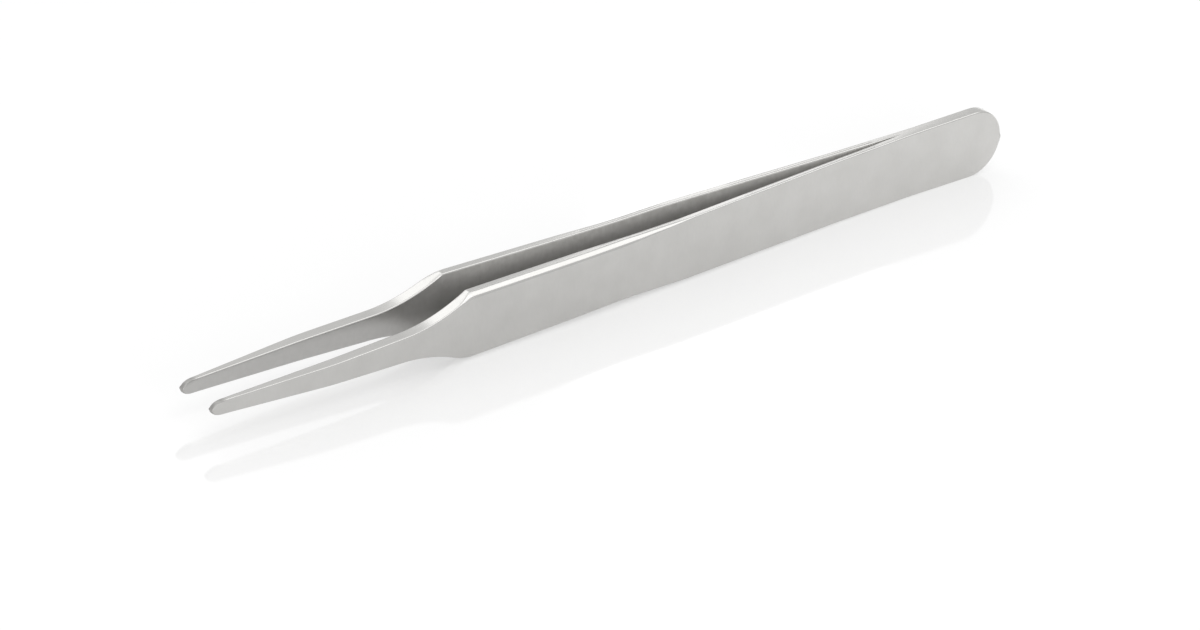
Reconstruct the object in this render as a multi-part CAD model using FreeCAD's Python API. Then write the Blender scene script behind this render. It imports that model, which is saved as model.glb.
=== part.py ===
import FreeCAD, Part
import math
import os

# Flat-tipped tweezers: two stainless arms, mirror images of each other, welded face to face at the heel.
# Each arm is one strip: a thin springy heel, a thick handle with ground bevels, a neck and a slim flat tip.
# Millimetres. +X points to the butt, the tips are at -X, the front arm is on the -Y side and +Z is up.
# The part lies on the arms' lower long edges, and its origin is the middle of its box, at the bottom.
# A station is a distance from the butt, along the arm.

# Runs of an arm, from the butt to the tip
weldLength = 14.0
flareLength = 12.0
springLength = 25.0
kneeLength = 15.0
gripLength = 17.2
neckLength = 9.8
tipLength = 27.0

# Half the gap between the arms, at the end of each run
flareGap = 0.42
kneeGap = 1.60
bellyGap = 1.68
shoulderGap = 2.06
tipTaperGap = 2.50
tipGap = 2.45

# Thickness of an arm
heelThickness = 0.76
kneeThickness = 0.90
bellyThickness = 1.52
shoulderThickness = 1.58
tipTaperThickness = 1.48
tipThickness = 0.60
tipTaperLength = 17.0

# Bend radii, seen from above
flareRadius = 60.0
kneeRadius = 45.0
gripRadius = 90.0
tipTaperRadius = 50.0

# Face of an arm, seen from the side
handleWidth = 8.76
waistNarrowing = 0.64
waistSetback = 26.2
waistRadius = 400.0
shoulderRadius = 0.8
neckWidth = 3.32
tipWidth = 1.86
tipRoundLength = 1.6

# Bevels ground along the handle's outer edges, which run out towards the heel
bevelDepth = 0.66
bevelDrop = 0.44
bevelLength = 38.2
bevelFade = 15.0

# Radius of every other edge of an arm that is open to the fingers
edgeBreak = 0.16

# Places that follow from the sizes above
flareStation = weldLength + flareLength
kneeStation = flareStation + springLength
bellyStation = kneeStation + kneeLength
shoulderStation = bellyStation + gripLength
neckStation = shoulderStation + neckLength
overallLength = neckStation + tipLength
tipTaperStation = overallLength - tipTaperLength
waistStation = shoulderStation - waistSetback
bevelStart = shoulderStation - bevelLength
bevelFull = bevelStart + bevelFade
halfLength = overallLength / 2
handleHalf = handleWidth / 2
waistHalf = (handleWidth - waistNarrowing) / 2
tipHalf = tipWidth / 2

innerBends = [
    (weldLength, 0.0, None),
    (flareStation, flareGap, flareRadius),
    (kneeStation, kneeGap, kneeRadius),
    (bellyStation, bellyGap, gripRadius),
    (shoulderStation, shoulderGap, gripRadius),
    (tipTaperStation, tipTaperGap, tipTaperRadius),
    (overallLength, tipGap, None),
]
outerBends = [
    (0.0, heelThickness, None),
    (weldLength, heelThickness, flareRadius),
    (flareStation, flareGap + heelThickness, flareRadius),
    (kneeStation, kneeGap + kneeThickness, kneeRadius),
    (bellyStation, bellyGap + bellyThickness, gripRadius),
    (shoulderStation, shoulderGap + shoulderThickness, gripRadius),
    (tipTaperStation, tipTaperGap + tipTaperThickness, tipTaperRadius),
    (overallLength, tipGap + tipThickness, None),
]
handleCorners = [(handleHalf, handleHalf), (waistStation, waistHalf), (shoulderStation, handleHalf)]


def along(station):
    return halfLength - station


def unit(vector):
    return vector / vector.Length


def bentPath(corners, radii):
    # Straight runs through the corners, with a tangent arc at each inner one.
    edges = []
    last = corners[0]
    for before, corner, after, radius in zip(corners, corners[1:], corners[2:], radii):
        incoming = unit(corner - before)
        outgoing = unit(after - corner)
        turn = incoming.getAngle(outgoing)
        start = corner - incoming * (radius * math.tan(turn / 2))
        end = corner + outgoing * (radius * math.tan(turn / 2))
        inward = unit(outgoing - incoming)
        middle = corner + inward * (radius / math.cos(turn / 2) - radius)
        edges.append(Part.LineSegment(last, start).toShape())
        edges.append(Part.Arc(start, middle, end).toShape())
        last = end
    edges.append(Part.LineSegment(last, corners[-1]).toShape())
    return edges


def tangentArc(start, direction, end):
    # The arc that leaves start in the given direction and reaches end.
    chord = end - start
    towardsCentre = unit(chord - direction * chord.dot(direction))
    radius = chord.dot(chord) / (2 * chord.dot(towardsCentre))
    centre = start + towardsCentre * radius
    middle = centre + unit((start + end) / 2 - centre) * radius
    return Part.Arc(start, middle, end).toShape()


def quarterOval(side, end, centre):
    # A quarter of an ellipse, from the point at its end to the point at its side.
    return Part.ArcOfEllipse(Part.Ellipse(end, side, centre), 0, math.pi / 2).toShape()


def closedWire(edges):
    return Part.Wire(Part.__sortEdges__(edges))


def bowProfile():
    # The front arm seen from above: its inner and outer faces, from the butt to the tip.
    inner = [FreeCAD.Vector(along(station), -offset, 0) for station, offset, radius in innerBends]
    outer = [FreeCAD.Vector(along(station), -offset, 0) for station, offset, radius in outerBends]
    innerButt = FreeCAD.Vector(halfLength, 0, 0)
    edges = bentPath(inner, [radius for station, offset, radius in innerBends[1:-1]])
    edges += bentPath(outer, [radius for station, offset, radius in outerBends[1:-1]])
    edges.append(Part.LineSegment(inner[-1], outer[-1]).toShape())
    edges.append(Part.LineSegment(outer[0], innerButt).toShape())
    edges.append(Part.LineSegment(innerButt, inner[0]).toShape())
    return closedWire(edges)


def faceHalf(side):
    # The upper (side 1) or lower (side -1) half of the face's outline: butt, handle, neck, tip.
    def point(station, halfWidth):
        return FreeCAD.Vector(along(station), 0, side * halfWidth)

    buttMiddle = handleHalf * math.sqrt(0.5)
    butt = Part.Arc(point(0, 0), point(handleHalf - buttMiddle, buttMiddle), point(handleHalf, handleHalf))
    handle = bentPath([point(*corner) for corner in handleCorners], [waistRadius])
    neckEnd = point(neckStation, neckWidth / 2)
    tipStart = point(overallLength - tipRoundLength, tipHalf)
    neck = tangentArc(neckEnd, unit(neckEnd - tipStart), point(shoulderStation, handleHalf))
    tipEdge = Part.LineSegment(neckEnd, tipStart).toShape()
    tipRound = quarterOval(tipStart, point(overallLength, 0), point(overallLength - tipRoundLength, 0))
    return [butt.toShape(), neck, tipEdge, tipRound] + handle


def facePlate():
    # The outline as a plate deeper than the arm, its two shoulder corners stoned round.
    depth = 2 * (shoulderGap + tipTaperGap + shoulderThickness)
    plate = Part.Face(closedWire(faceHalf(1) + faceHalf(-1))).extrude(FreeCAD.Vector(0, -depth, 0))
    shoulders = [FreeCAD.Vector(along(shoulderStation), -depth / 2, side * handleHalf) for side in (1, -1)]
    corners = [edge for edge in plate.Edges if min((edge.CenterOfMass - at).Length for at in shoulders) < 0.01]
    return plate.makeFillet(shoulderRadius, corners)


def bowPlate():
    plate = Part.Face(bowProfile()).extrude(FreeCAD.Vector(0, 0, 2 * handleWidth))
    plate.translate(FreeCAD.Vector(0, 0, -handleWidth))
    return plate


def rimEdges(arm, facesInwards):
    # The sharp edges round an arm's inner or outer face. The welded heel's inner edges stay sharp.
    found = []
    for edge in arm.Edges:
        middle = edge.valueAt((edge.FirstParameter + edge.LastParameter) / 2)
        if facesInwards and middle.x > along(weldLength):
            continue
        faces = arm.ancestorsOfType(edge, Part.Face)
        normals = [face.normalAt(*face.Surface.parameter(middle)) for face in faces]
        isSharp = abs(normals[0].dot(normals[1])) < math.cos(math.radians(70))
        sideways = [normal.y for normal in normals if abs(normal.y) > math.cos(math.radians(45))]
        if isSharp and sideways and (sideways[0] > 0) == facesInwards:
            found.append(edge)
    return found


def heightAt(corners, station):
    # The value at a station, on straight runs through corners that start with station and value.
    for near, far in zip(corners, corners[1:]):
        if near[0] <= station <= far[0]:
            return near[1] + (far[1] - near[1]) * (station - near[0]) / (far[0] - near[0])
    return corners[-1][1]


def bevelWedge(side):
    # What the grinder takes off the outer face's upper (side 1) or lower (side -1) edge.
    # It follows the edge from bend to bend, and grows from nothing to its full size.
    pastShoulder = shoulderStation + 2 * shoulderRadius
    bends = [bend[0] for bend in outerBends + handleCorners if bevelStart < bend[0] < pastShoulder]
    sections = []
    for station in sorted(set([bevelStart, bevelFull, pastShoulder] + bends)):
        share = min(1.0, (station - bevelStart) / bevelFade)
        face = heightAt(outerBends, station)
        edge = heightAt(handleCorners, station)
        high = FreeCAD.Vector(along(station), -face + bevelDepth * (1 + share), side * (edge + bevelDrop))
        low = FreeCAD.Vector(along(station), -face - bevelDepth, side * (edge - bevelDrop * (1 + share)))
        corner = FreeCAD.Vector(along(station), low.y, high.z)
        sections.append(Part.makePolygon([high, low, corner, high]))
    return Part.makeLoft(sections, True, True)


def frontArm():
    arm = bowPlate().common(facePlate())
    arm = arm.makeFillet(edgeBreak, rimEdges(arm, False))
    arm = arm.makeFillet(edgeBreak, rimEdges(arm, True))
    arm = arm.cut(bevelWedge(1)).cut(bevelWedge(-1))
    arm.translate(FreeCAD.Vector(0, 0, handleHalf))
    return arm


front = frontArm()
rear = front.mirror(FreeCAD.Vector(0, 0, 0), FreeCAD.Vector(0, 1, 0))
os.makedirs("parts", exist_ok=True)
for node, arm in (("front_arm", front), ("rear_arm", rear)):
    arm.exportStep("parts/" + node + ".step")
    print(node, "valid", arm.isValid(), "solids", len(arm.Solids), "volume", round(arm.Volume, 2))
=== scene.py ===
import math

import bmesh
import bpy
from mathutils import Matrix, Vector


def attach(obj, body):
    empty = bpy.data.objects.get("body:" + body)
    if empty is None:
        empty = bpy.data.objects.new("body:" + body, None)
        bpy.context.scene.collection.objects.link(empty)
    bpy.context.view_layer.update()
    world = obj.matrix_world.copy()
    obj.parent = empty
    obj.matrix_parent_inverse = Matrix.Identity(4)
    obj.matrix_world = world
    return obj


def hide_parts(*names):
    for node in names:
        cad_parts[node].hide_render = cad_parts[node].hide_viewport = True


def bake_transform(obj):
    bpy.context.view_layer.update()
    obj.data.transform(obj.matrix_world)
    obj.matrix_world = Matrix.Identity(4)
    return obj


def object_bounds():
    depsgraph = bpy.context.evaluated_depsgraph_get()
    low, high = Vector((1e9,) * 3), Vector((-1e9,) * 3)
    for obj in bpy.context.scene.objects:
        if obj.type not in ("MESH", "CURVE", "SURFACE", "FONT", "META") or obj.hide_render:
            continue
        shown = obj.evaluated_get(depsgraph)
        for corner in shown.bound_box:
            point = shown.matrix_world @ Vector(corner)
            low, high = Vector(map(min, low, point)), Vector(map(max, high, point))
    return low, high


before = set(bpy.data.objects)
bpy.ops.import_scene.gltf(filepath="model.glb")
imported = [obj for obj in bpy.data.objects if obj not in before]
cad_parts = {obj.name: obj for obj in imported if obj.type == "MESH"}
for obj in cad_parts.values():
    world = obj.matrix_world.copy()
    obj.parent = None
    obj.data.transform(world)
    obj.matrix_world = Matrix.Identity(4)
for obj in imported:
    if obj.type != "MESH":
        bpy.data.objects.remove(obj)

# Flat-tipped tweezers in satin stainless steel: two arms, mirror images of each other, welded at the heel.
# Metres. The tips are at -X and the butt at +X, the front arm is on the -Y side, and the floor is at Z = 0.
# A station is a distance from the butt, along an arm.

mm = 0.001
hair = 0.001 * mm  # points closer than this count as one
white = (1, 1, 1, 1)
cadLow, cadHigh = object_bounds()
middleHeight = (cadLow.z + cadHigh.z) / 2
print("frame loaded,", len(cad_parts), "nodes")

# Camera and light

camera = {
    "distance": 1200.87 * mm,
    "azimuth": -41.39,  # degrees; 0 looks along +Y
    "elevation": 29.44,
    "roll": -4.86,
    "lens": 310.13,
    "sensorWidth": 36.0,
    "clipStart": 50 * mm,
    "aimAcross": 0.85 * mm,  # how far the object's middle lies from the picture's middle
    "aimUp": 6.07 * mm,
}

studio = {
    "floorSize": 6.0,
    "floorColour": 0.42,
    "floorGlow": 0.575,  # what a picture of the floor gains over its lit colour
    "mirroredColour": 0.70,  # the same two as the steel mirrors the floor, with more of the contact shadow
    "mirroredGlow": 0.30,
    "heelGlow": 0.175,  # what the mirrored floor gains on top, between two places along X
    "heelGlowFrom": -20 * mm,
    "heelGlowTo": 75 * mm,
    "floorGloss": 0.18,  # how much of the tweezers the floor mirrors
    "floorGlossRoughness": 0.08,
    "skyForLight": 0.85,
    "skyForPictures": 1.0,
    "skyForGloss": 0.85,
}

# Each faces the tweezers, and a glow of 1 is as bright as white
softboxes = {
    "overhead": {"at": (0.0, 0.0, 0.72), "size": (0.50, 0.60), "glow": 0.4},
    "right": {"at": (0.403, -0.142, 0.558), "size": (0.36, 0.36), "glow": 0.95},
    "behind": {"at": (0.014, 0.457, 0.534), "size": (0.36, 0.30), "glow": 0.90},
    "besideBehind": {"at": (0.225, 0.457, 0.482), "size": (0.18, 0.30), "glow": 0.12},
    "inFront": {"at": (0.014, -0.256, 0.651), "size": (0.44, 0.24), "glow": 0.9},
    "card": {"at": (0.139, 0.131, 0.109), "size": (0.04, 0.04), "glow": 0.95},
    "front": {"at": (-0.10, -0.555, 0.205), "size": (0.30, 0.22), "glow": 2.5},
}


def placeCamera():
    azimuth = math.radians(camera["azimuth"])
    elevation = math.radians(camera["elevation"])
    roll = math.radians(camera["roll"])
    level = math.cos(elevation)
    back = Vector((math.sin(azimuth) * level, -math.cos(azimuth) * level, math.sin(elevation)))
    levelRight = Vector((math.cos(azimuth), math.sin(azimuth), 0))
    levelUp = back.cross(levelRight)
    right = levelRight * math.cos(roll) - levelUp * math.sin(roll)
    up = levelRight * math.sin(roll) + levelUp * math.cos(roll)
    place = back * camera["distance"] - right * camera["aimAcross"] - up * camera["aimUp"]
    place.z += middleHeight
    data = bpy.data.cameras.new("photoCamera")
    data.lens = camera["lens"]
    data.sensor_fit = "HORIZONTAL"
    data.sensor_width = camera["sensorWidth"]
    data.clip_start = camera["clipStart"]
    holder = bpy.data.objects.new("photoCamera", data)
    bpy.context.scene.collection.objects.link(holder)
    holder.matrix_world = Matrix.Translation(place) @ Matrix((right, up, back)).transposed().to_4x4()
    bpy.context.scene.camera = holder


class Field:
    # A shader socket that can be used in plain arithmetic.
    def __init__(self, graph, socket):
        self.graph = graph
        self.socket = socket

    def __add__(self, other):
        return self.graph.maths("ADD", self, other)

    def __radd__(self, other):
        return self.graph.maths("ADD", other, self)

    def __sub__(self, other):
        return self.graph.maths("SUBTRACT", self, other)

    def __rsub__(self, other):
        return self.graph.maths("SUBTRACT", other, self)

    def __mul__(self, other):
        return self.graph.maths("MULTIPLY", self, other)

    def __rmul__(self, other):
        return self.graph.maths("MULTIPLY", other, self)


class Graph:
    # The nodes of one material or of the world.
    def __init__(self, owner):
        owner.use_nodes = True
        self.tree = owner.node_tree
        self.tree.nodes.clear()

    def node(self, kind, settings=None, sockets=None, output=0):
        # A node's settings come first, then the values or links of its sockets, by name or number.
        made = self.tree.nodes.new(kind)
        for name, value in (settings or {}).items():
            setattr(made, name, value)
        for name, value in (sockets or {}).items():
            if isinstance(value, Field):
                self.tree.links.new(value.socket, made.inputs[name])
            else:
                made.inputs[name].default_value = value
        return Field(self, made.outputs[output]) if made.outputs else None

    def maths(self, operation, first, second):
        return self.node("ShaderNodeMath", {"operation": operation}, {0: first, 1: second})

    def ramp(self, value, start, end, startValue, endValue):
        # A soft step from one value to another, between two places.
        return self.node("ShaderNodeMapRange", {"interpolation_type": "SMOOTHSTEP"}, {
            0: value,
            1: start,
            2: end,
            3: startValue,
            4: endValue,
        })

    def mixColours(self, share, first, second):
        # From one colour to another, each given as a socket or as red, green and blue.
        sockets = {0: share}
        for number, colour in ((6, first), (7, second)):
            sockets[number] = colour if isinstance(colour, Field) else (*colour, 1)
        return self.node("ShaderNodeMix", {"data_type": "RGBA"}, sockets, output=2)


def paintSky():
    world = bpy.data.worlds.new("studioSky")
    bpy.context.scene.world = world
    graph = Graph(world)
    seen = graph.node("ShaderNodeLightPath", output="Is Camera Ray")
    mirrored = graph.node("ShaderNodeLightPath", output="Is Glossy Ray")
    through = graph.node("ShaderNodeLightPath", output="Is Transmission Ray")
    strength = (
        studio["skyForLight"]
        + (seen + through) * (studio["skyForPictures"] - studio["skyForLight"])
        + mirrored * (studio["skyForGloss"] - studio["skyForLight"])
    )
    sky = graph.node("ShaderNodeBackground", None, {"Color": white, "Strength": strength})
    graph.node("ShaderNodeOutputWorld", None, {"Surface": sky})


def layFloor():
    mesh = bpy.data.meshes.new("floor")
    bm = bmesh.new()
    bmesh.ops.create_grid(bm, x_segments=1, y_segments=1, size=studio["floorSize"] / 2)
    bm.to_mesh(mesh)
    bm.free()
    floor = bpy.data.objects.new("floor", mesh)
    bpy.context.scene.collection.objects.link(floor)
    material = bpy.data.materials.new("paleFloor")
    graph = Graph(material)
    seen = graph.node("ShaderNodeLightPath", output="Is Camera Ray")
    mirrored = graph.node("ShaderNodeLightPath", output="Is Glossy Ray")
    through = graph.node("ShaderNodeLightPath", output="Is Transmission Ray")
    shade = studio["floorColour"] + mirrored * (studio["mirroredColour"] - studio["floorColour"])
    colour = graph.node("ShaderNodeCombineColor", None, {"Red": shade, "Green": shade, "Blue": shade})
    pale = graph.node("ShaderNodeBsdfDiffuse", None, {"Color": colour})
    place = graph.node("ShaderNodeTexCoord", output="Object")
    across = graph.node("ShaderNodeSeparateXYZ", None, {0: place})
    towardsHeel = graph.ramp(across, studio["heelGlowFrom"], studio["heelGlowTo"], 0.0, studio["heelGlow"])
    strength = (
        (seen + through) * studio["floorGlow"]
        + mirrored * (towardsHeel + studio["mirroredGlow"])
    )
    glow = graph.node("ShaderNodeEmission", None, {"Color": white, "Strength": strength})
    gloss = graph.node("ShaderNodeBsdfGlossy", None, {
        "Color": white,
        "Roughness": studio["floorGlossRoughness"],
    })
    lit = graph.node("ShaderNodeAddShader", None, {0: pale, 1: glow})
    share = seen * studio["floorGloss"]
    surface = graph.node("ShaderNodeMixShader", None, {0: share, 1: lit, 2: gloss})
    graph.node("ShaderNodeOutputMaterial", None, {"Surface": surface})
    mesh.materials.append(material)


def hangSoftboxes():
    for name, box in softboxes.items():
        width, height = box["size"]
        data = bpy.data.lights.new(name, "AREA")
        data.shape = "RECTANGLE"
        data.size = width
        data.size_y = height
        data.energy = box["glow"] * math.pi * width * height
        lamp = bpy.data.objects.new(name, data)
        bpy.context.scene.collection.objects.link(lamp)
        place = Vector(box["at"])
        turn = (place - Vector((0, 0, middleHeight))).to_track_quat("Z", "Y").to_matrix().to_4x4()
        lamp.matrix_world = Matrix.Translation(place) @ turn


placeCamera()
paintSky()
layFloor()
hangSoftboxes()
bpy.context.scene.view_settings.view_transform = "Standard"
print("camera, sky, floor and", len(softboxes), "softboxes placed")

# Steel

satin = {
    "colour": (0.535, 0.530, 0.517),
    "shade": (0.480, 0.475, 0.462),
    "toneSpan": 0.48,  # how widely the noises stray before a tone is all colour or all shade
    "metallic": 1.0,
    "roughness": 0.34,
    "roughnessSpread": 0.05,
    "lines": (0.24 * mm, 1.0 * mm, 1.0 * mm),  # size of a brush line along X, Y and Z
    "lineTilt": 12.0,  # degrees off the vertical
    "lineDepth": 0.0010 * mm,
    "lineDetail": 3.0,
    "mottle": 3.2 * mm,  # size of the cloudy patches
    "mottleDetail": 4.0,
    "mottleShare": 0.75,  # how much of the tone comes from the patches, not from the lines
    "paintedShade": None,
    "tip": None,
}

inside = {
    **satin,
    "lines": (0.32 * mm, 2.4 * mm, 2.4 * mm),
    "colour": (0.70, 0.69, 0.67),
    "shade": (0.54, 0.53, 0.51),
    "paintedShade": (0.24, 0.235, 0.225),  # painted shade: what it fades to away from the arm's edges, where the inside faces lie in shade between the arms
    "metallic": 0.3,
    "roughness": 0.38,
    "mottle": 0.9 * mm,
    # the neck and the tip are ground finer; this comes in between two places along X
    "tip": {
        "full": -33 * mm,
        "start": -17 * mm,
        "colour": (0.49, 0.485, 0.475),
        "shade": (0.445, 0.44, 0.43),
        "metallic": 1.0,
        "roughness": 0.31,
    },
}

ground = {
    **satin,
    "colour": (0.60, 0.595, 0.58),
    "shade": (0.54, 0.535, 0.52),
    "roughness": 0.21,
    "lines": (4.0 * mm, 0.12 * mm, 0.12 * mm),
    "lineTilt": 0.0,
    "lineDepth": 0.0008 * mm,
    "mottle": 2.5 * mm,
    "mottleShare": 0.4,
    # the very end of the tip is duller
    "tip": {
        "full": -58.7 * mm,
        "start": -57.6 * mm,
        "colour": (0.40, 0.395, 0.385),
        "shade": (0.34, 0.335, 0.325),
        "metallic": 1.0,
        "roughness": 0.45,
    },
}

middleTone = 0.5  # what the noises come to on the whole


def steel(name, finish):
    material = bpy.data.materials.new(name)
    graph = Graph(material)
    place = graph.node("ShaderNodeTexCoord", output="Object")
    lineScale = [1 / size for size in finish["lines"]]
    turned = graph.node("ShaderNodeMapping", None, {
        "Vector": place,
        "Rotation": (0, math.radians(finish["lineTilt"]), 0),
    })
    stretched = graph.node("ShaderNodeMapping", None, {"Vector": turned, "Scale": lineScale})
    lines = graph.node("ShaderNodeTexNoise", None, {
        "Vector": stretched,
        "Scale": 1.0,
        "Detail": finish["lineDetail"],
    })
    clouds = graph.node("ShaderNodeTexNoise", None, {
        "Vector": place,
        "Scale": 1 / finish["mottle"],
        "Detail": finish["mottleDetail"],
    })
    share = finish["mottleShare"]
    mixed = lines * (1 - share) + clouds * share
    reach = finish["toneSpan"] / 2
    tone = graph.node("ShaderNodeMapRange", None, {0: mixed, 1: middleTone - reach, 2: middleTone + reach})
    colour = graph.mixColours(tone, finish["shade"], finish["colour"])
    # painted shade: the inside fades to a darker colour towards the middle of its faces, by the mask
    if finish["paintedShade"]:
        paintedShadeMask = graph.node("ShaderNodeAttribute", {"attribute_name": "paintedShadeMask"}, output=2)
        colour = graph.mixColours(paintedShadeMask, finish["paintedShade"], colour)
    metallic = finish["metallic"]
    roughness = finish["roughness"] + (tone - middleTone) * finish["roughnessSpread"]
    if finish["tip"]:
        tip = finish["tip"]
        across = graph.node("ShaderNodeSeparateXYZ", None, {0: place})
        towardsTip = graph.ramp(across, tip["full"], tip["start"], 1.0, 0.0)
        tipColour = graph.mixColours(tone, tip["shade"], tip["colour"])
        colour = graph.mixColours(towardsTip, colour, tipColour)
        roughness = roughness + towardsTip * (tip["roughness"] - finish["roughness"])
        if tip["metallic"] != metallic:
            metallic = metallic + towardsTip * (tip["metallic"] - metallic)
    bump = graph.node("ShaderNodeBump", None, {
        "Strength": 1.0,
        "Distance": finish["lineDepth"],
        "Height": lines,
    })
    surface = graph.node("ShaderNodeBsdfPrincipled", None, {
        "Base Color": colour,
        "Metallic": metallic,
        "Roughness": roughness,
        "Normal": bump,
    })
    graph.node("ShaderNodeOutputMaterial", None, {"Surface": surface})
    return material


finishes = [steel("satinFace", satin), steel("satinInside", inside), steel("groundEdge", ground)]
faceFinish, insideFinish, edgeFinish = range(len(finishes))
print("steel finishes mixed")

# The arms

arm = {
    # runs from the butt to the tip
    "weld": 14.0 * mm,
    "seam": 16.0 * mm,  # how far the arms still lie on each other, a little past the weld
    "flare": 12.0 * mm,
    "spring": 25.0 * mm,
    "knee": 15.0 * mm,
    "grip": 17.2 * mm,
    "neck": 9.8 * mm,
    "tip": 27.0 * mm,
    "taperLength": 17.0 * mm,
    # half the gap between the arms, at the end of each run
    "flareGap": 0.42 * mm,
    "kneeGap": 1.60 * mm,
    "bellyGap": 1.68 * mm,
    "shoulderGap": 2.06 * mm,
    "taperGap": 2.50 * mm,
    "tipGap": 2.45 * mm,
    # thickness of an arm
    "heelThickness": 0.76 * mm,
    "kneeThickness": 0.90 * mm,
    "bellyThickness": 1.52 * mm,
    "shoulderThickness": 1.58 * mm,
    "taperThickness": 1.48 * mm,
    "tipThickness": 0.60 * mm,
    # bend radii, seen from above
    "flareRadius": 60.0 * mm,
    "kneeRadius": 45.0 * mm,
    "gripRadius": 90.0 * mm,
    "taperRadius": 50.0 * mm,
    # the face, seen from the side
    "waistNarrowing": 0.64 * mm,
    "waistSetback": 26.2 * mm,
    "shoulderRadius": 0.8 * mm,
    "neckWidth": 3.32 * mm,
    "tipWidth": 1.86 * mm,
    "tipRound": 1.6 * mm,
    # bevels ground along the handle's outer edges
    "bevelDepth": 0.66 * mm,
    "bevelDrop": 0.44 * mm,
    "bevelLength": 38.2 * mm,
    "bevelFade": 15.0 * mm,
    "bevelTurn": 0.9 * mm,  # how gently the bevel's line turns into the neck's edge
    "bevelRunOut": 2.4 * mm,  # how far past the shoulder the bevel can reach
    "crown": 0.30 * mm,  # how far the rounding at the bevel's foot reaches onto the face
    # every other open edge is cut and its two arrises softened, which gives about this radius
    "edgeBreak": 0.22 * mm,
    "arrisShare": 0.36,
    "innerFade": 6.0 * mm,  # how far the inner edges' cut takes to come in, from the seam
    "creaseTurn": 40.0,  # degrees; edges that turn more are shaded crisp
    # how far past the weld a squeezed arm bends
    "springBend": 26.0 * mm,
    # how finely the mesh follows all this
    "columnSpacing": 1.0 * mm,
    "shoulderColumns": (0.35, 0.60, 0.85, 1.10, 1.35),  # closer ones before the shoulder, in spacings
    "shoulderClear": 1.5,  # spacings before the shoulder that hold only those
    "buttSteps": 24,
    "neckSteps": 24,
    "tipSteps": 12,
    "shoulderSteps": 5,
    "arrisSteps": 2,
    "crownSteps": 5,
}

flareEnd = arm["weld"] + arm["flare"]
kneeEnd = flareEnd + arm["spring"]
bellyEnd = kneeEnd + arm["knee"]
shoulderEnd = bellyEnd + arm["grip"]
neckEnd = shoulderEnd + arm["neck"]
armLength = neckEnd + arm["tip"]
lastColumn = armLength - 2 * arm["tipRound"]
taperStart = armLength - arm["taperLength"]
waistAt = shoulderEnd - arm["waistSetback"]
bevelStart = shoulderEnd - arm["bevelLength"]
bevelEnd = shoulderEnd + arm["bevelRunOut"]
buttX = cadHigh.x
handleHalf = middleHeight
waistHalf = handleHalf - arm["waistNarrowing"] / 2
neckHalf = arm["neckWidth"] / 2
tipHalf = arm["tipWidth"] / 2

# Station, offset from the middle plane and radius of each bend
innerBends = [
    (0, 0, 0),
    (arm["seam"], 0, 0),
    (flareEnd, arm["flareGap"], arm["flareRadius"]),
    (kneeEnd, arm["kneeGap"], arm["kneeRadius"]),
    (bellyEnd, arm["bellyGap"], arm["gripRadius"]),
    (shoulderEnd, arm["shoulderGap"], arm["gripRadius"]),
    (taperStart, arm["taperGap"], arm["taperRadius"]),
    (armLength, arm["tipGap"], 0),
]
outerBends = [
    (0, arm["heelThickness"], 0),
    (arm["weld"], arm["heelThickness"], arm["flareRadius"]),
    (flareEnd, arm["flareGap"] + arm["heelThickness"], arm["flareRadius"]),
    (kneeEnd, arm["kneeGap"] + arm["kneeThickness"], arm["kneeRadius"]),
    (bellyEnd, arm["bellyGap"] + arm["bellyThickness"], arm["gripRadius"]),
    (shoulderEnd, arm["shoulderGap"] + arm["shoulderThickness"], arm["gripRadius"]),
    (taperStart, arm["taperGap"] + arm["taperThickness"], arm["taperRadius"]),
    (armLength, arm["tipGap"] + arm["tipThickness"], 0),
]

# Station, height and radius of each bend in the handle's edge, carried on level past the shoulder
handleEdges = [
    (handleHalf, handleHalf, 0),
    (waistAt, waistHalf, 0),
    (shoulderEnd, handleHalf, 0),
    (neckEnd, handleHalf, 0),
]

# The neck's arc leaves the shoulder at this slope, because it ends along the tip's edge
tipSlant = math.atan((neckHalf - tipHalf) / (arm["tip"] - arm["tipRound"]))
neckSlope = math.tan(2 * math.atan((handleHalf - neckHalf) / arm["neck"]) - tipSlant)

edgeCut = arm["edgeBreak"] * (2 - math.sqrt(2))  # a flat cut that just touches the rounding
edgeRound = arm["edgeBreak"] * arm["arrisShare"]


def along(station):
    return buttX - station


def easedRise(distance, ease):
    # Nought before a bend and a slope of 1 after it, with an arc's worth of ease between.
    if distance <= -ease:
        return 0
    if distance >= ease:
        return distance
    return (distance + ease) ** 2 / (4 * ease)


def offsetAt(bends, station):
    # The offset at a station, on straight runs joined by the bends' arcs.
    slopes = [(far[1] - near[1]) / (far[0] - near[0]) for near, far in zip(bends, bends[1:])]
    offset = bends[0][1] + slopes[0] * (station - bends[0][0])
    for bend, before, after in zip(bends[1:], slopes, slopes[1:]):
        ease = bend[2] * abs(after - before) / 2
        offset += (after - before) * easedRise(station - bend[0], ease)
    return offset


def straightTo(bm, last, station, height):
    # Draws the outline straight on from its last point.
    grown = bmesh.ops.extrude_vert_indiv(bm, verts=[last])["verts"][0]
    grown.co = Vector((along(station), 0, height))
    return grown


def sweep(bm, last, centre, angle, steps):
    # Carries the outline's last point round a centre.
    swept = bmesh.ops.spin(
        bm, geom=[last], cent=centre, axis=(0, 1, 0), angle=angle, steps=steps, use_duplicate=False
    )
    return [end for end in swept["geom_last"] if isinstance(end, bmesh.types.BMVert)][0]


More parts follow.
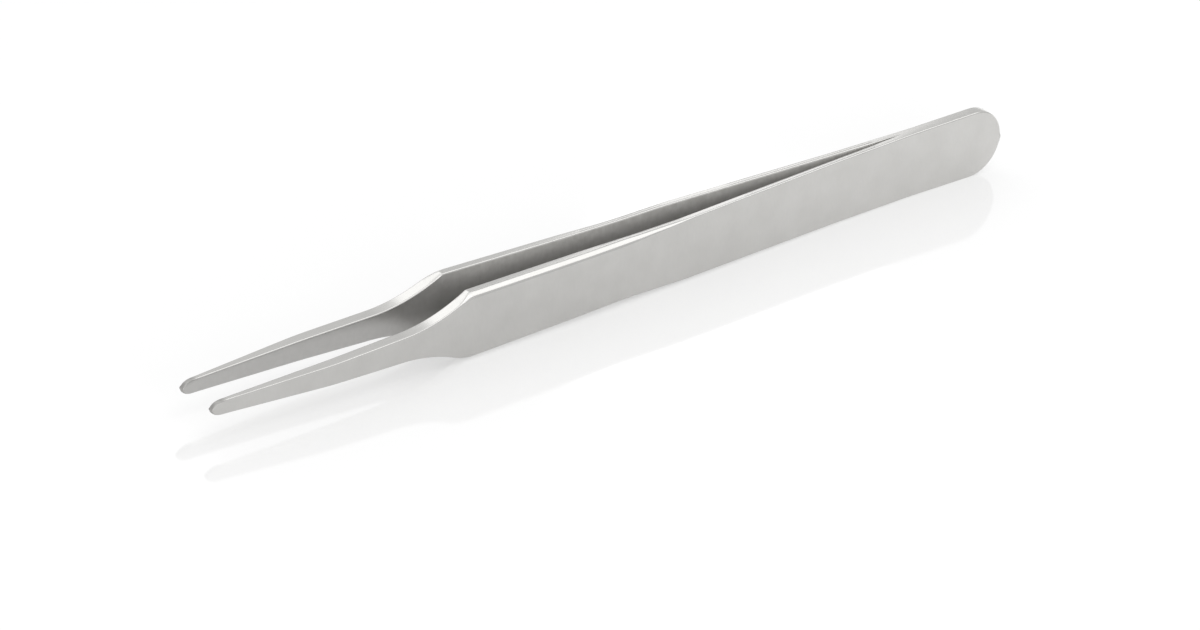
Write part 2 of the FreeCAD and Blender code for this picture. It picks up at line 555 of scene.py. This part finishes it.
def drawUpperOutline(bm):
    # Half the face's outline, from the butt over the handle and the neck to the tip.
    last = bm.verts.new((buttX, 0, 0))
    last = sweep(bm, last, (along(handleHalf), 0, 0), -math.pi / 2, arm["buttSteps"])
    last = straightTo(bm, last, waistAt, waistHalf)
    shoulder = straightTo(bm, last, shoulderEnd, handleHalf)

    # The neck is the arc that runs into the tip's straight edge
    tipTop = Vector((along(armLength - arm["tipRound"]), 0, tipHalf))
    neckFoot = Vector((along(neckEnd), 0, neckHalf))
    direction = (neckFoot - tipTop).normalized()
    chord = shoulder.co - neckFoot
    inwards = (chord - direction * chord.dot(direction)).normalized()
    centre = neckFoot + inwards * chord.length_squared / (2 * chord.dot(inwards))
    turn = (shoulder.co - centre).angle(neckFoot - centre)
    last = sweep(bm, shoulder, centre, turn, arm["neckSteps"])
    last = straightTo(bm, last, armLength - arm["tipRound"], tipHalf)

    # The tip ends in half an oval
    drawn = set(bm.verts)
    sweep(bm, last, (tipTop.x, 0, 0), -math.pi / 2, arm["tipSteps"])
    tipVerts = [vert for vert in bm.verts if vert not in drawn]
    stretch = Matrix.Scale(arm["tipRound"] / tipHalf, 4, (1, 0, 0))
    bmesh.ops.transform(bm, verts=tipVerts, matrix=stretch, space=Matrix.Translation((-tipTop.x, 0, 0)))

    # The shoulder's corner is stoned round
    handleEdge = Vector((along(waistAt), 0, waistHalf)) - shoulder.co
    neckEdge = [edge.other_vert(shoulder).co - shoulder.co for edge in shoulder.link_edges]
    cornerTurn = math.pi - handleEdge.angle(min(neckEdge, key=lambda edge: edge.length))
    bmesh.ops.bevel(
        bm, geom=[shoulder], offset=arm["shoulderRadius"] * math.tan(cornerTurn / 2), offset_type="OFFSET",
        segments=arm["shoulderSteps"], profile=0.5, affect="VERTICES", material=-1,
    )


def cutColumns(bm):
    # Cross cuts along the straight runs, so that the strip can bend, and closer ones at the shoulder.
    spacing = arm["columnSpacing"]
    cuts = [shoulderEnd - share * spacing for share in arm["shoulderColumns"]]
    clearStart = shoulderEnd - arm["shoulderClear"] * spacing
    clearEnd = neckEnd + spacing
    station = handleHalf + spacing
    while station < lastColumn:
        if not clearStart < station < clearEnd:
            cuts.append(station)
        station += spacing
    for station in cuts:
        bmesh.ops.bisect_plane(
            bm, geom=bm.verts[:] + bm.edges[:] + bm.faces[:], dist=hair,
            plane_co=(along(station), 0, 0), plane_no=(1, 0, 0),
        )


def stripRound(bm, skin):
    # Insets a skin by the edge's cut, and gives the narrow strip that this leaves round it.
    inset = bmesh.ops.inset_region(
        bm, faces=skin, thickness=edgeCut, use_boundary=True, use_even_offset=True,
    )
    return inset["faces"]


def rimOf(faces):
    # The edges round a patch of faces.
    patch = set(faces)
    return [
        edge for face in faces for edge in face.edges
        if sum(1 for linked in edge.link_faces if linked in patch) == 1
    ]


def vertsOf(items):
    return {vert for item in items for vert in item.verts}


def stationOf(vert):
    return buttX - vert.co.x


def bevelLine(station, edgeHeight):
    # How high the bevel meets the face: below the handle's edge, then easing into the neck's,
    # which is carried on straight from the shoulder towards the heel.
    share = min(1, (station - bevelStart) / arm["bevelFade"])
    level = offsetAt(handleEdges, station) - share * arm["bevelDrop"]
    neckEdge = edgeHeight + neckSlope * max(0, shoulderEnd - station)
    return level - easedRise(level - neckEdge, arm["bevelTurn"])


def grindBevel(ring, rim):
    # Widens the outer face's cut edge into the handle's ground bevel, which fades in from the heel.
    # Gives the line where they meet, as a list of station, height, offset and the bevel's width.
    line = []
    steepness = (arm["bevelDepth"] - edgeCut) / (arm["bevelDrop"] - edgeCut)
    for vert in rim:
        below = [edge.other_vert(vert) for edge in vert.link_edges if edge.other_vert(vert) in ring][0]
        station = stationOf(below)
        if not bevelStart < station < bevelEnd:
            continue
        height = abs(below.co.z)
        height = min(height, bevelLine(station, height))
        below.co.z = math.copysign(height, below.co.z)
        width = max(0, math.hypot(vert.co.x - below.co.x, vert.co.z - below.co.z) - edgeCut)
        vert.co.y += steepness * width
        if below.co.z > 0:
            line.append((station, height, below.co.y, width))
    return sorted(line)


def readLine(line, station):
    # The bevel line's height, offset and width at a station.
    for near, far in zip(line, line[1:]):
        if near[0] <= station < far[0]:
            way = (station - near[0]) / (far[0] - near[0])
            return [start + way * (end - start) for start, end in zip(near[1:], far[1:])]
    return line[0][1:]


def roundOff(bm, edges, steps):
    # Softens sharp edges and gives the points that come of it.
    rounded = bmesh.ops.bevel(
        bm, geom=edges, offset=edgeRound, offset_type="OFFSET", segments=steps, profile=0.5,
        affect="EDGES", clamp_overlap=False, material=-1,
    )
    return rounded["verts"]


def crownBevel(verts, line):
    # Swells the small rounding where the bevel meets the face into a softer one.
    for vert in verts:
        cornerHeight, cornerDepth, width = readLine(line, stationOf(vert))
        swell = arm["crown"] / edgeRound * min(1, width / (arm["bevelDrop"] - edgeCut))
        if swell <= 1:
            continue
        height = cornerHeight + (abs(vert.co.z) - cornerHeight) * swell
        vert.co.z = math.copysign(height, vert.co.z)
        vert.co.y = cornerDepth + (vert.co.y - cornerDepth) * swell


def maskPaintedShade(bm):
    # Painted shade mask: 1 along the arm's edges, falling towards the middle of a face by its distance from
    # them; the inside is painted darker where it falls.
    paintedShadeMask = bm.verts.layers.float.new("paintedShadeMask")
    for vert in bm.verts:
        reach = max(abs(edge.other_vert(vert).co.z - vert.co.z) for edge in vert.link_edges)
        isMiddle = abs(vert.co.z) < hair
        vert[paintedShadeMask] = 1 - min(1, reach / handleHalf) if isMiddle else 1


def buildFrontArm():
    bm = bmesh.new()
    drawUpperOutline(bm)
    grown = bmesh.ops.extrude_edge_only(bm, edges=bm.edges[:])["geom"]
    grownVerts = [item for item in grown if isinstance(item, bmesh.types.BMVert)]
    bmesh.ops.scale(bm, vec=(1, 1, 0), verts=grownVerts)
    bmesh.ops.remove_doubles(bm, verts=bm.verts[:], dist=hair)
    cutColumns(bm)
    bmesh.ops.mirror(bm, geom=bm.verts[:] + bm.edges[:] + bm.faces[:], merge_dist=hair, axis="Z")

    # A second skin for the outer face, and a narrow strip round the rim of each
    innerSkin = bm.faces[:]
    grown = bmesh.ops.extrude_face_region(bm, geom=innerSkin, use_keep_orig=True)["geom"]
    outerSkin = [item for item in grown if isinstance(item, bmesh.types.BMFace)]
    bmesh.ops.translate(bm, vec=(0, -arm["heelThickness"], 0), verts=list(vertsOf(outerSkin)))
    bmesh.ops.recalc_face_normals(bm, faces=bm.faces[:])
    outerStrip = stripRound(bm, outerSkin)
    innerStrip = stripRound(bm, innerSkin)

    # Bent to the bow, with the rims cut back
    for vert in vertsOf(outerSkin + outerStrip):
        vert.co.y = -offsetAt(outerBends, stationOf(vert))
    for vert in vertsOf(innerSkin + innerStrip):
        vert.co.y = -offsetAt(innerBends, stationOf(vert))
    outerRim = vertsOf(outerStrip) - vertsOf(outerSkin)
    innerRim = vertsOf(innerStrip) - vertsOf(innerSkin)
    for vert in outerRim:
        vert.co.y += edgeCut
    for vert in innerRim:
        vert.co.y -= edgeCut * min(1, max(0, (stationOf(vert) - arm["seam"]) / arm["innerFade"]))
    bevelFoot = grindBevel(vertsOf(outerStrip) & vertsOf(outerSkin), outerRim)

    for face in bm.faces:
        face.material_index = edgeFinish
        face.smooth = True
    for face in innerSkin:
        face.material_index = insideFinish
    for face in outerSkin:
        face.material_index = faceFinish

    # The arrises are softened, but for the inner ones along the seam, where the arms lie on each other
    bm.normal_update()
    crownEdges = rimOf(outerSkin)
    openEdges = rimOf(outerSkin + outerStrip)
    openEdges += [
        edge for edge in rimOf(innerSkin) + rimOf(innerSkin + innerStrip)
        if min(stationOf(vert) for vert in edge.verts) > arm["seam"] - arm["columnSpacing"] / 2
    ]
    crownVerts = roundOff(bm, crownEdges, arm["crownSteps"])
    crownBevel(crownVerts, bevelFoot)
    roundOff(bm, openEdges, arm["arrisSteps"])
    # the mask by which the inside is painted darker towards its middle
    maskPaintedShade(bm)
    bmesh.ops.translate(bm, vec=(0, 0, middleHeight), verts=bm.verts[:])
    bmesh.ops.recalc_face_normals(bm, faces=bm.faces[:])
    for edge in bm.edges:
        edge.smooth = edge.calc_face_angle(0) < math.radians(arm["creaseTurn"])
    return bm


def pieceFrom(name, bm):
    mesh = bpy.data.meshes.new(name)
    bm.to_mesh(mesh)
    for finish in finishes:
        mesh.materials.append(finish)
    piece = bpy.data.objects.new(name, mesh)
    bpy.context.scene.collection.objects.link(piece)
    even = piece.modifiers.new("evenShading", "WEIGHTED_NORMAL")
    even.mode = "FACE_AREA"
    even.keep_sharp = True
    return piece


frontMesh = buildFrontArm()
frontArm = pieceFrom("frontArm", frontMesh)
bmesh.ops.scale(frontMesh, vec=(1, -1, 1), verts=frontMesh.verts[:])
bmesh.ops.recalc_face_normals(frontMesh, faces=frontMesh.faces[:])
rearArm = pieceFrom("rearArm", frontMesh)
frontMesh.free()
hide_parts("front_arm")
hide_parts("rear_arm")
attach(rearArm, "rear_body")
along(arm["weld"])
along(arm["weld"] + arm["springBend"])
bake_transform(frontArm)
print("arms built,", len(frontArm.data.vertices), "points each")
